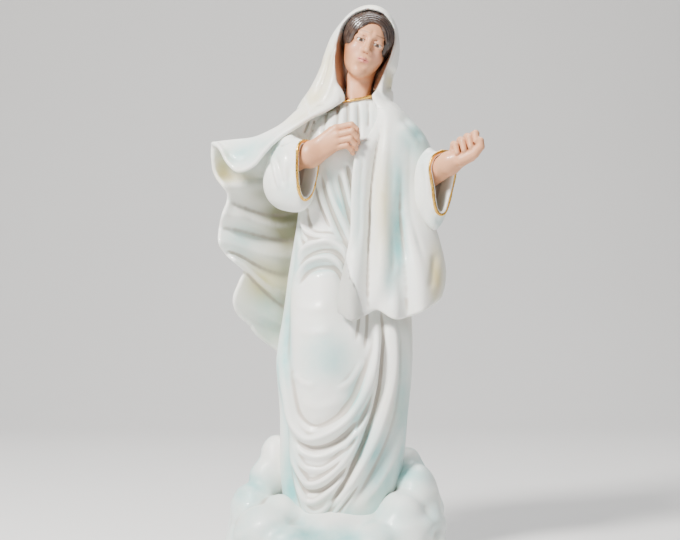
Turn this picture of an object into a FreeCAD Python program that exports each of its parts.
"""Standing robed and veiled devotional figure on a cloud plinth, 300 mm tall, as pinned and glued castings.

Millimetres, +Z up, the figure faces -Y, and the origin is the middle of the felt's underside.
"Right" and "left" are the figure's own: its right arm is on the -X side.
"""

import FreeCAD, Part
import math
import os

from FreeCAD import Placement, Rotation, Vector

doc = FreeCAD.newDocument("figure")
sheet = doc.addObject("Spreadsheet::Sheet", "sizes")

# ---------------------------------------------------------------- driving dimensions

SINGLE_SIZES = {
    # walls and fixings
    "casting_wall": 3.0,
    "veil_wall": 2.6,
    "trim_wire": 1.0,
    "felt_depth": 1.5,
    "cover_depth": 2.5,
    "cover_radius": 34.0,
    "cavity_radius": 30.0,
    "cavity_top": 11.0,
    "foot_half_width": 51.0,
    "foot_half_depth": 42.0,
    "foot_corner": 30.0,
    "foot_height": 18.0,
    "base_dowel_radius": 3.0,
    "base_dowel_length": 26.0,
    "neck_dowel_radius": 1.5,
    "neck_dowel_length": 34.0,
    "wrist_pin_radius": 0.8,
    "wrist_pin_length": 22.0,
    "veil_pin_radius": 1.0,
    "veil_pin_length": 13.0,
    # head
    "head_half_width": 12.6,
    "head_half_depth": 15.5,
    "head_half_height": 18.6,
    "neck_radius": 6.8,
    "neck_length": 24.0,
    "hair_depth": 1.0,
    "eye_radius": 2.6,
    "hood_half_width": 18.0,
    "hood_half_depth": 20.0,
    "hood_half_height": 22.6,
}

# Ellipses up the gown: height, centre x, centre y, half width, half depth.
GOWN = {
    "hem": (14.0, 1.0, 0.0, 28.0, 24.0),
    "ankle": (34.0, 3.0, 0.0, 31.0, 26.0),
    "shin": (56.0, 5.0, 0.0, 34.5, 27.5),
    "knee": (83.0, 5.5, -1.0, 36.5, 28.5),
    "thigh": (112.0, 6.0, -1.5, 36.0, 28.0),
    "hip": (140.0, 6.5, -1.0, 34.0, 25.5),
    "waist": (175.0, 9.0, 0.0, 28.0, 21.0),
    "rib": (205.0, 9.5, 0.0, 27.0, 20.0),
    "chest": (222.0, 9.5, -0.5, 28.5, 19.5),
    "shoulder": (237.0, 10.5, 0.0, 23.0, 14.0),
    "collar": (246.5, 12.0, -1.5, 10.5, 9.5),
}

# Ellipses up the veil where it hangs down the back, same order.
CAPE = {
    "cape_hem": (112.0, 6.0, 6.0, 42.0, 32.5),
    "cape_hip": (145.0, 7.0, 5.0, 40.0, 30.0),
    "cape_waist": (180.0, 9.0, 4.0, 36.5, 27.0),
    "cape_chest": (215.0, 10.5, 3.5, 36.0, 24.0),
    "cape_shoulder": (236.0, 11.5, 3.0, 31.0, 19.5),
    "cape_nape": (250.0, 12.0, 1.5, 20.0, 17.0),
    "cape_crown": (265.0, 14.6, -0.5, 16.5, 16.0),
}

# Ellipses up the veil's front fall over the left arm, same order.
DRAPE = {
    "drape_hem": (129.0, 30.0, -9.0, 28.0, 26.0),
    "drape_hip": (155.0, 33.5, -8.5, 25.0, 23.0),
    "drape_waist": (185.0, 35.0, -8.0, 21.0, 19.5),
    "drape_chest": (212.0, 35.0, -6.0, 18.0, 17.0),
    "drape_shoulder": (235.0, 31.0, -2.0, 13.0, 13.0),
}

# Puffs of the cloud: centre x, y, z and radius.
PUFFS = {
    "puff_front": (-7.0, -27.0, 11.0, 19.0),
    "puff_front_left": (33.0, -23.0, 12.0, 21.0),
    "puff_front_right": (-36.0, -20.0, 13.0, 20.5),
    "puff_side_left": (38.0, 1.0, 21.0, 20.0),
    "puff_side_right": (-38.0, 3.0, 21.0, 19.5),
    "puff_high_left": (36.0, 12.0, 41.0, 14.0),
    "puff_high_right": (-32.0, 13.0, 41.0, 14.0),
    "puff_back_left": (24.0, 24.0, 14.0, 20.0),
    "puff_back_right": (-20.0, 24.0, 14.0, 20.0),
    "puff_back_high": (3.0, 23.0, 32.0, 16.0),
}

# Joints of the arms.
RIGHT_SHOULDER = Vector(-12, 1, 228)
RIGHT_ELBOW = Vector(-27, -7, 203)
RIGHT_CUFF = Vector(-16, -26, 208)
RIGHT_WRIST = Vector(-12, -29, 216)
LEFT_SHOULDER = Vector(33, 0, 228)
LEFT_ELBOW = Vector(47, -5, 203)
LEFT_CUFF = Vector(58, -29, 202)
LEFT_WRIST = Vector(61, -34, 211)

# Each sleeve's mouth: the way it faces, its half height and half width, and the sleeve's half width at the elbow.
RIGHT_MOUTH_FACES = Vector(0.78, -0.62, 0.0).normalize()
LEFT_MOUTH_FACES = Vector(0.6, -0.8, 0.05).normalize()
RIGHT_CUFF_HALF, LEFT_CUFF_HALF = (15.4, 7.2), (18.0, 8.4)
RIGHT_ELBOW_HALF, LEFT_ELBOW_HALF = 12.5, 12.0

# Each hand's own directions: along the hand from the wrist, and out of the palm.
RIGHT_ALONG, RIGHT_PALM = Vector(13, 0.5, 7), Vector(-0.1, 1, 0)
LEFT_ALONG, LEFT_PALM = Vector(10.5, -6, 3.5), Vector(-0.35, -0.2, 1)

HEAD_CENTRE = Vector(17.6, -4.5, 275.5)
HEAD_TILT = Rotation(Vector(0, 1, 0), 20)
HOOD_CENTRE = HEAD_CENTRE + Vector(-1.6, 2.6, 0.6)
NECK_FOOT = Vector(12, -1.5, 240)
NECK_TOP = Vector(14.5, -1.5, 264)
UPRIGHT = Vector(0, 0, 1)


def fill_sheet():
    """Writes every driving dimension into the spreadsheet, one aliased cell each."""
    cells = dict(SINGLE_SIZES)
    for table in (GOWN, CAPE, DRAPE):
        for name, values in table.items():
            for part, value in zip(("up", "x", "y", "half_width", "half_depth"), values):
                cells[f"{name}_{part}"] = value
    for name, values in PUFFS.items():
        for part, value in zip(("x", "y", "up", "radius"), values):
            cells[f"{name}_{part}"] = value
    for row, (alias, value) in enumerate(cells.items(), start=1):
        sheet.set(f"A{row}", alias)
        sheet.set(f"B{row}", str(value))
        sheet.setAlias(f"B{row}", alias)
    doc.recompute()


def size(alias):
    """The value of a driving dimension, for code that places things."""
    return float(sheet.get(alias))


# ---------------------------------------------------------------- building blocks


def bound(kind, name, **expressions):
    """A document object whose properties are bound to spreadsheet expressions."""
    made = doc.addObject(kind, name)
    for prop, expression in expressions.items():
        made.setExpression(prop.replace("__", "."), expression)
    return made


def ellipse_at(name, inset="0"):
    """A horizontal ellipse of one of the section tables, drawn in by an inset."""
    return bound(
        "Part::Ellipse",
        f"ellipse_{name}",
        MajorRadius=f"sizes.{name}_half_width - ({inset})",
        MinorRadius=f"sizes.{name}_half_depth - ({inset})",
        Placement__Base__x=f"sizes.{name}_x",
        Placement__Base__y=f"sizes.{name}_y",
        Placement__Base__z=f"sizes.{name}_up",
    )


def loft(name, sections):
    """A smooth solid through ellipses, in order."""
    made = doc.addObject("Part::Loft", name)
    made.Sections = sections
    made.Solid = True
    made.Ruled = False
    return made


def ring(name, centre, normal, long_half, short_half, long_axis=UPRIGHT):
    """An ellipse square to normal, with its long axis as near long_axis as it can be."""
    made = doc.addObject("Part::Ellipse", name)
    made.MajorRadius = long_half
    made.MinorRadius = short_half
    across = normal.cross(long_axis)
    made.Placement = Placement(centre, Rotation(long_axis, across, normal, "ZXY"))
    return made


def rod(name, start, towards, radius, length):
    """A cylinder from start, pointing towards another point, its radius and length bound to the sheet."""
    made = bound("Part::Cylinder", name, Radius=radius, Height=length)
    made.Placement = Placement(start, Rotation(UPRIGHT, towards - start))
    return made


def ball(name, centre, radius):
    made = doc.addObject("Part::Sphere", name)
    made.Radius = radius
    made.Placement = Placement(centre, Rotation())
    return made


def tapered(name, start, end, start_radius, end_radius):
    """A cone from start to end, as for a forearm or a finger bone."""
    along = end - start
    made = doc.addObject("Part::Cone", name)
    made.Radius1 = start_radius
    made.Radius2 = end_radius
    made.Height = along.Length
    made.Placement = Placement(start, Rotation(UPRIGHT, along))
    return made


def block(name, low, high):
    """A box between two corners."""
    made = doc.addObject("Part::Box", name)
    made.Length, made.Width, made.Height = high - low
    made.Placement = Placement(low, Rotation())
    return made


def oval_ball(name, centre, half_width, half_depth, half_height, turn):
    """An ellipsoid with bound radii: Radius2 is along X, Radius3 along Y, Radius1 along Z."""
    made = bound("Part::Ellipsoid", name, Radius1=half_height, Radius2=half_width, Radius3=half_depth)
    made.Placement = Placement(centre, turn)
    return made


def fuse(name, shapes):
    made = doc.addObject("Part::MultiFuse", name)
    made.Shapes = shapes
    return made


def cut(name, base, tools):
    """Base without its tools, one boolean at a time."""
    for index, tool in enumerate(tools):
        made = doc.addObject("Part::Cut", f"{name}_cut_{index}")
        made.Base = base
        made.Tool = tool
        base = made
    return base


def common(name, first, second):
    made = doc.addObject("Part::MultiCommon", name)
    made.Shapes = [first, second]
    return made


NODES = {}


def keep(label, made):
    """Registers an object as a finished sub-part."""
    made.Label = label
    NODES[label] = made
    return made


# ---------------------------------------------------------------- the gown and its base


def make_gown():
    """Outer shape of the robe, as a solid, for its own shell and for cutting its neighbours."""
    outer = loft("gown_outer", [ellipse_at(name) for name in GOWN])
    hollow_names = [name for name in GOWN if name not in ("hem", "collar")]
    inner = loft("gown_inner", [ellipse_at(name, "sizes.casting_wall") for name in hollow_names])
    return outer, inner


def make_cloud(gown_outer, base_dowel):
    """Cloud plinth: puffs fused round a core, flat underneath, socketed for the robe's foot."""
    shapes = []
    for name in PUFFS:
        shapes.append(
            bound(
                "Part::Sphere",
                name,
                Radius=f"sizes.{name}_radius",
                Placement__Base__x=f"sizes.{name}_x",
                Placement__Base__y=f"sizes.{name}_y",
                Placement__Base__z=f"sizes.{name}_up",
            )
        )
    foot, foot_pad = rounded_plan("foot", size("foot_half_width"), size("foot_half_depth"), size("foot_corner"))
    foot_pad.setExpression("Length", "sizes.foot_height")
    doc.recompute()
    shapes.append(foot)
    cloud = fuse("cloud_puffs", shapes)
    below = block("below_the_felt", Vector(-90, -90, -60), Vector(90, 90, size("felt_depth")))
    rebate = bound(
        "Part::Cylinder",
        "cover_rebate",
        Radius="sizes.cover_radius",
        Height="sizes.felt_depth + sizes.cover_depth",
    )
    cavity = bound("Part::Cylinder", "base_cavity", Radius="sizes.cavity_radius", Height="sizes.cavity_top")
    body = cut("cloud", cloud, [below, rebate, cavity, gown_outer, base_dowel])
    keep("cloud_base", body)

    cover = bound("Part::Cylinder", "cover_disc", Radius="sizes.cover_radius", Height="sizes.cover_depth")
    cover.setExpression("Placement.Base.z", "sizes.felt_depth")
    keep("base_cover", cover)



def rounded_plan(name, half_width, half_depth, corner):
    """A body with one sketch: a rectangle with large round corners, about the origin."""
    body = doc.addObject("PartDesign::Body", f"{name}_body")
    sketch = body.newObject("Sketcher::SketchObject", f"{name}_outline")
    plane = [f for f in body.Origin.OriginFeatures if f.Role == "XY_Plane"][0]
    sketch.AttachmentSupport = [(plane, "")]
    sketch.MapMode = "FlatFace"
    across, deep = half_width - corner, half_depth - corner
    corners = [(across, -deep, -90), (across, deep, 0), (-across, deep, 90), (-across, -deep, 180)]
    arcs = []
    for x, y, start in corners:
        circle = Part.Circle(Vector(x, y, 0), UPRIGHT, corner)
        arcs.append(Part.ArcOfCircle(circle, math.radians(start), math.radians(start + 90)))
    for arc, following in zip(arcs, arcs[1:] + arcs[:1]):
        sketch.addGeometry(arc)
        sketch.addGeometry(Part.LineSegment(arc.EndPoint, following.StartPoint))
    doc.recompute()
    pad = body.newObject("PartDesign::Pad", f"{name}_pad")
    pad.Profile = sketch
    return body, pad


def make_felt():
    """Felt cut a millimetre inside the plinth's own foot."""
    margin = 1.0
    body, pad = rounded_plan(
        "felt", size("foot_half_width") - margin, size("foot_half_depth") - margin, size("foot_corner") - margin
    )
    pad.setExpression("Length", "sizes.felt_depth")
    doc.recompute()
    keep("felt_pad", body)


# ---------------------------------------------------------------- head


def make_head(neck_dowel):
    """Head and neck as one casting, with eye seats, and the hair and eyes that sit on it."""
    skull = oval_ball(
        "skull", HEAD_CENTRE, "sizes.head_half_width", "sizes.head_half_depth", "sizes.head_half_height", HEAD_TILT
    )
    neck = rod("neck", NECK_FOOT, NECK_TOP, "sizes.neck_radius", "sizes.neck_length")
    solid = fuse("head_solid", [skull, neck])

    eyes = []
    for side in (-1, 1):
        seat = HEAD_CENTRE + HEAD_TILT.multVec(Vector(side * 4.9, -12.6, 1.0))
        eyes.append(ball(f"eye_{side + 1}", seat, size("eye_radius")))
    eye_pair = fuse("eye_pair", eyes)
    keep("eyes", eye_pair)

    cap = oval_ball(
        "hair_cap",
        HEAD_CENTRE + Vector(0, 0.6, 0.6),
        "sizes.head_half_width + sizes.hair_depth",
        "sizes.head_half_depth + sizes.hair_depth",
        "sizes.head_half_height + sizes.hair_depth",
        HEAD_TILT,
    )
    face = oval_ball(
        "face_opening",
        HEAD_CENTRE + HEAD_TILT.multVec(Vector(0, -16, -5)),
        "sizes.head_half_width - 1.5",
        "sizes.head_half_depth",
        "sizes.head_half_height + 0.5",
        HEAD_TILT,
    )
    under = block("under_the_hair", Vector(-20, -30, 230), Vector(50, 30, 266))
    hair = cut("hair", cap, [solid, face, under])
    keep("hair", hair)

    keep("head", cut("head", solid, eyes + [neck_dowel]))
    return solid, cap


# ---------------------------------------------------------------- arms


def make_sleeve(side, shoulder, elbow, cuff, cuff_normal, cuff_half, elbow_half):
    """Outer shape of one hanging sleeve, and the hollow of its mouth."""
    tall, wide = cuff_half
    upper = loft(
        f"{side}_upper_sleeve",
        [
            ring(f"{side}_shoulder_ring", shoulder, (elbow - shoulder).normalize(), 10.5, 9.0, Vector(0, 1, 0)),
            ring(f"{side}_elbow_ring", elbow, (elbow - shoulder).normalize(), elbow_half * 0.85, elbow_half * 0.8,
                 Vector(0, 1, 0)),
        ],
    )
    joint = ball(f"{side}_elbow_ball", elbow, elbow_half + 0.5)
    bell = loft(
        f"{side}_bell",
        [
            ring(f"{side}_bell_start", elbow, cuff_normal, elbow_half * 0.95, elbow_half * 0.8),
            ring(f"{side}_bell_middle", (elbow + cuff) * 0.5, cuff_normal, (elbow_half + tall) / 2 + 1, wide + 2.5),
            ring(f"{side}_bell_end", cuff, cuff_normal, tall, wide),
        ],
    )
    outer = fuse(f"{side}_sleeve_solid", [upper, joint, bell])
    wall = size("veil_wall")
    mouth = loft(
        f"{side}_mouth",
        [
            ring(f"{side}_mouth_end", (elbow * 0.35 + cuff * 0.65), cuff_normal, tall - 1 - wall, wide - 0.5 - wall / 2),
            ring(f"{side}_mouth_start", cuff + cuff_normal * 1.5, cuff_normal, tall - wall, wide - wall / 2),
        ],
    )
    return outer, mouth


def make_trim(side, cuff, cuff_normal, cuff_half):
    """Raised gilt bead round a cuff, swept along the edge of the mouth."""
    tall, wide = cuff_half
    path = ring(f"{side}_trim_path", cuff + cuff_normal * 0.9, cuff_normal, tall - 0.6, wide - 0.6)
    bead = doc.addObject("Part::Circle", f"{side}_trim_bead")
    bead.setExpression("Radius", "sizes.trim_wire")
    start = path.Placement.multVec(Vector(tall - 0.6, 0, 0))
    bead.Placement = Placement(start, path.Placement.Rotation.multiply(Rotation(Vector(1, 0, 0), 90)))
    sweep = doc.addObject("Part::Sweep", f"{side}_trim_sweep")
    sweep.Sections = [bead]
    sweep.Spine = (path, ["Edge1"])
    sweep.Solid = True
    sweep.Frenet = True
    return sweep


def make_hand(side, elbow, wrist, along, palm_out, curls):
    """Forearm, palm, four fingers and a thumb, fused. Curls are each joint's bend to the palm, in degrees."""
    along = Vector(along).normalize()
    out = (palm_out - along * along.dot(palm_out)).normalize()
    across = along.cross(out)
    forearm = tapered(f"{side}_forearm", elbow, wrist, 4.4, 3.8)
    heel = ball(f"{side}_wrist", wrist, 3.9)
    palm = doc.addObject("Part::Ellipsoid", f"{side}_palm")
    palm.Radius1, palm.Radius2, palm.Radius3 = 10.5, 7.4, 3.4
    palm.Placement = Placement(wrist + along * 8, Rotation(across, out, along, "ZXY"))
    shapes = [forearm, heel, palm]

    def digit(name, root, lengths, bends, start_radius):
        turn = 0
        knuckle = 0.14
        for bone, (length, bend) in enumerate(zip(lengths, bends)):
            turn += math.radians(bend)
            end = root + (along * math.cos(turn) + out * math.sin(turn)) * length
            thin = start_radius - 0.2 * bone
            shapes.append(ball(f"{name}_joint_{bone}", root, thin + knuckle))
            shapes.append(tapered(f"{name}_bone_{bone}", root, end, thin, thin - 0.15))
            root = end
        shapes.append(ball(f"{name}_tip", root, thin - 0.15 + knuckle))

    for index in range(4):
        root = wrist + along * (14.5 - 0.6 * abs(index - 1)) + across * (3.4 * index - 5.1)
        reach = 1 - 0.07 * abs(index - 1)
        digit(f"{side}_finger_{index}", root, [7.5 * reach, 5.5 * reach, 4.0 * reach], curls, 1.9)
    thumb_root = wrist + along * 3.5 - across * 4.0 + out * 1.5
    digit(f"{side}_thumb", thumb_root, [6.5, 5.0, 4.0], [25, 10, 5], 2.1)
    return fuse(f"{side}_hand_solid", shapes)


# ---------------------------------------------------------------- veil


def make_veil(hair_cap, gown_outer, sleeves, head_solid):
    """Hood and the long fall down the back: two shells fused, opened at the front."""
    outer = loft("cape_outer", [ellipse_at(name) for name in CAPE])
    inner = doc.addObject("Part::Loft", "cape_inner")
    inner.Sections = [ellipse_at(name, "sizes.veil_wall") for name in CAPE]
    inner.Solid = True
    hood = oval_ball(
        "hood_outer",
        HOOD_CENTRE,
        "sizes.hood_half_width",
        "sizes.hood_half_depth",
        "sizes.hood_half_height",
        HEAD_TILT,
    )
    lining = oval_ball(
        "hood_inner",
        HOOD_CENTRE,
        "sizes.hood_half_width - sizes.veil_wall",
        "sizes.hood_half_depth - sizes.veil_wall",
        "sizes.hood_half_height - sizes.veil_wall",
        HEAD_TILT,
    )
    whole = fuse("veil_whole", [outer, hood])
    face_side = block("veil_face_side", Vector(-60, -60, 236), Vector(90, -13, 320))
    chest_side = block("veil_chest_side", Vector(-90, -60, 90), Vector(90, 2, 236))
    wing_side = block("veil_wing_side", Vector(-90, -60, 90), Vector(-17, 60, 226))
    openings = [inner, lining, face_side, chest_side, wing_side]
    return cut("veil", whole, sleeves + openings + [gown_outer, head_solid, hair_cap])


def closed_sketch(name, role, points, arcs=None):
    """A body with one sketch through points, its sides straight or, where arcs says, bulged by that much."""
    body = doc.addObject("PartDesign::Body", f"{name}_body")
    sketch = body.newObject("Sketcher::SketchObject", f"{name}_outline")
    plane = [f for f in body.Origin.OriginFeatures if f.Role == role][0]
    sketch.AttachmentSupport = [(plane, "")]
    sketch.MapMode = "FlatFace"
    bulges = arcs or {}
    for index, start in enumerate(points):
        end = points[(index + 1) % len(points)]
        start, end = Vector(*start, 0), Vector(*end, 0)
        bulge = bulges.get(index, 0)
        if bulge:
            side = (end - start).cross(UPRIGHT).normalize()
            sketch.addGeometry(Part.Arc(start, (start + end) * 0.5 + side * bulge, end))
        else:
            sketch.addGeometry(Part.LineSegment(start, end))
    doc.recompute()
    return body, sketch


def curtain(name, plan, plan_bulges, front, front_bulges):
    """A curved sheet: its plan seen from above, raised, and trimmed to its outline seen from the front."""
    strip, strip_sketch = closed_sketch(f"{name}_plan", "XY_Plane", plan, plan_bulges)
    rise = strip.newObject("PartDesign::Pad", f"{name}_rise")
    rise.Profile = strip_sketch
    rise.Length = 260
    edge, edge_sketch = closed_sketch(f"{name}_front", "XZ_Plane", front, front_bulges)
    depth = edge.newObject("PartDesign::Pad", f"{name}_depth")
    depth.Profile = edge_sketch
    depth.Length = 160
    depth.Midplane = True
    doc.recompute()
    return common(name, strip, edge)


def make_billow():
    """Windblown wing of the veil: a back sheet with a scalloped edge, and the lip curled over its front."""
    wing = curtain(
        "billow_wing",
        [(-17, 19), (-17, 23), (-60, 16), (-66.5, 3), (-63.5, 2.5), (-57.5, 13.5)],
        {1: 4, 5: -4},
        [(-17, 234), (-45, 222.5), (-67, 221), (-58.5, 196), (-51, 154), (-31, 108), (-17, 112)],
        {2: 1.5, 3: 6, 4: 4},
    )
    lip = curtain(
        "billow_lip",
        [(-5, -15), (-6, -17.5), (-58, -14), (-67.2, 7), (-62.5, 8), (-56.5, -11)],
        {1: -3.5, 5: 3.5},
        [(-5, 245), (-25, 232), (-45, 222.5), (-66.8, 221), (-64, 213), (-55, 207), (-42, 211), (-5, 238)],
        {},
    )
    return fuse("billow_solid", [wing, lip])


def make_drape():
    """Front fall of the veil over the left arm, hollow behind."""
    outer = loft("drape_outer", [ellipse_at(name) for name in DRAPE])
    inner_names = [name for name in DRAPE if name != "drape_shoulder"]
    inner = loft("drape_inner", [ellipse_at(name, "sizes.veil_wall") for name in inner_names])
    behind = block("drape_behind", Vector(-20, 2, 100), Vector(90, 60, 260))
    return outer, inner, behind


# ---------------------------------------------------------------- assembly


def build():
    fill_sheet()
    gown_outer, gown_inner = make_gown()

    base_dowel = rod("base_dowel_rod", Vector(1, 0, 11), Vector(1, 0, 40),
                     "sizes.base_dowel_radius", "sizes.base_dowel_length")
    neck_dowel = rod("neck_dowel_rod", Vector(12.4, -1.5, 231), Vector(15.2, -1.5, 260),
                     "sizes.neck_dowel_radius", "sizes.neck_dowel_length")
    keep("base_dowel", base_dowel)
    keep("neck_dowel", neck_dowel)

    make_cloud(gown_outer, base_dowel)
    make_felt()
    head_solid, hair_cap = make_head(neck_dowel)

    right_sleeve, right_mouth = make_sleeve(
        "right", RIGHT_SHOULDER, RIGHT_ELBOW, RIGHT_CUFF, RIGHT_MOUTH_FACES, RIGHT_CUFF_HALF, RIGHT_ELBOW_HALF
    )
    left_sleeve, left_mouth = make_sleeve(
        "left", LEFT_SHOULDER, LEFT_ELBOW, LEFT_CUFF, LEFT_MOUTH_FACES, LEFT_CUFF_HALF, LEFT_ELBOW_HALF
    )
    right_trim = make_trim("right", RIGHT_CUFF, RIGHT_MOUTH_FACES, RIGHT_CUFF_HALF)
    left_trim = make_trim("left", LEFT_CUFF, LEFT_MOUTH_FACES, LEFT_CUFF_HALF)

    right_hand = make_hand(
        "right", RIGHT_ELBOW + Vector(3, -7, 3), RIGHT_WRIST, RIGHT_ALONG, RIGHT_PALM, [8, 40, 35]
    )
    left_hand = make_hand(
        "left", LEFT_ELBOW + Vector(4.5, -10, 3), LEFT_WRIST, LEFT_ALONG, LEFT_PALM, [20, 35, 30]
    )

    right_pin = rod("right_wrist_pin_rod", RIGHT_ELBOW + Vector(-3, 2, -1), RIGHT_WRIST,
                    "sizes.wrist_pin_radius", "sizes.wrist_pin_length")
    left_pin = rod("left_wrist_pin_rod", LEFT_ELBOW + Vector(0.5, -2, 0.5), LEFT_WRIST,
                   "sizes.wrist_pin_radius", "sizes.wrist_pin_length")
    keep("right_wrist_pin", right_pin)
    keep("left_wrist_pin", left_pin)

    keep("right_hand", cut("right_hand", right_hand, [gown_outer, right_pin]))
    keep("left_hand", cut("left_hand", left_hand, [left_pin]))
    keep("right_cuff_trim", cut("right_trim", right_trim, [gown_outer, right_hand]))
    keep("left_cuff_trim", cut("left_trim", left_trim, [left_hand]))

    billow = make_billow()
    drape_outer, drape_inner, drape_behind = make_drape()
    veil = make_veil(hair_cap, gown_outer, [right_sleeve, left_sleeve], head_solid)

    backwards = Vector(0, 1, 0)
    pins = [
        rod(f"veil_pin_{index}", start, start + backwards, "sizes.veil_pin_radius", "sizes.veil_pin_length")
        for index, start in enumerate([Vector(9, 20, 150), Vector(9, 15, 205)])
    ]
    keep("veil_pins", fuse("veil_pin_pair", pins))
    keep("right_sleeve", cut("right_sleeve", right_sleeve, [right_mouth, gown_outer, right_hand, right_trim, right_pin]))
    keep("left_sleeve", cut("left_sleeve", left_sleeve, [left_mouth, gown_outer, left_hand, left_trim, left_pin]))
    keep("veil_hood", cut("veil_pinned", veil, pins))
    keep("veil_billow", cut("billow", billow, [gown_outer, right_sleeve]))
    keep("veil_drape", cut("drape", drape_outer, [left_sleeve, drape_inner, drape_behind, gown_outer]))

    neck_ring = doc.addObject("Part::Torus", "neck_ring")
    neck_ring.Radius1 = 9.2
    neck_ring.setExpression("Radius2", "sizes.trim_wire")
    neck_ring.Placement = Placement(Vector(12, -1.5, 247), Rotation(Vector(0, 1, 0), -8))
    keep("neckline_trim", cut("neckline", neck_ring, [gown_outer, head_solid, veil]))
    keep("gown", cut("gown", gown_outer, [gown_inner, head_solid, base_dowel, neck_dowel] + pins))


def write_parts():
    """Stops on any failed object, then writes each sub-part as its own STEP file."""
    failed = [o.Name for o in doc.Objects if "Invalid" in o.State or "Error" in o.State]
    if failed:
        raise SystemExit(f"failed objects: {failed}")
    os.makedirs("parts", exist_ok=True)
    for label, made in NODES.items():
        shape = made.Shape
        if shape.isNull() or not shape.isValid() or not shape.Solids:
            raise SystemExit(f"{label} has no valid solid")
        print(f"{label:18s} solids {len(shape.Solids):2d}  volume {shape.Volume / 1000:8.2f} cm3")
        shape.exportStep(f"parts/{label}.step")


build()
doc.recompute()
write_parts()
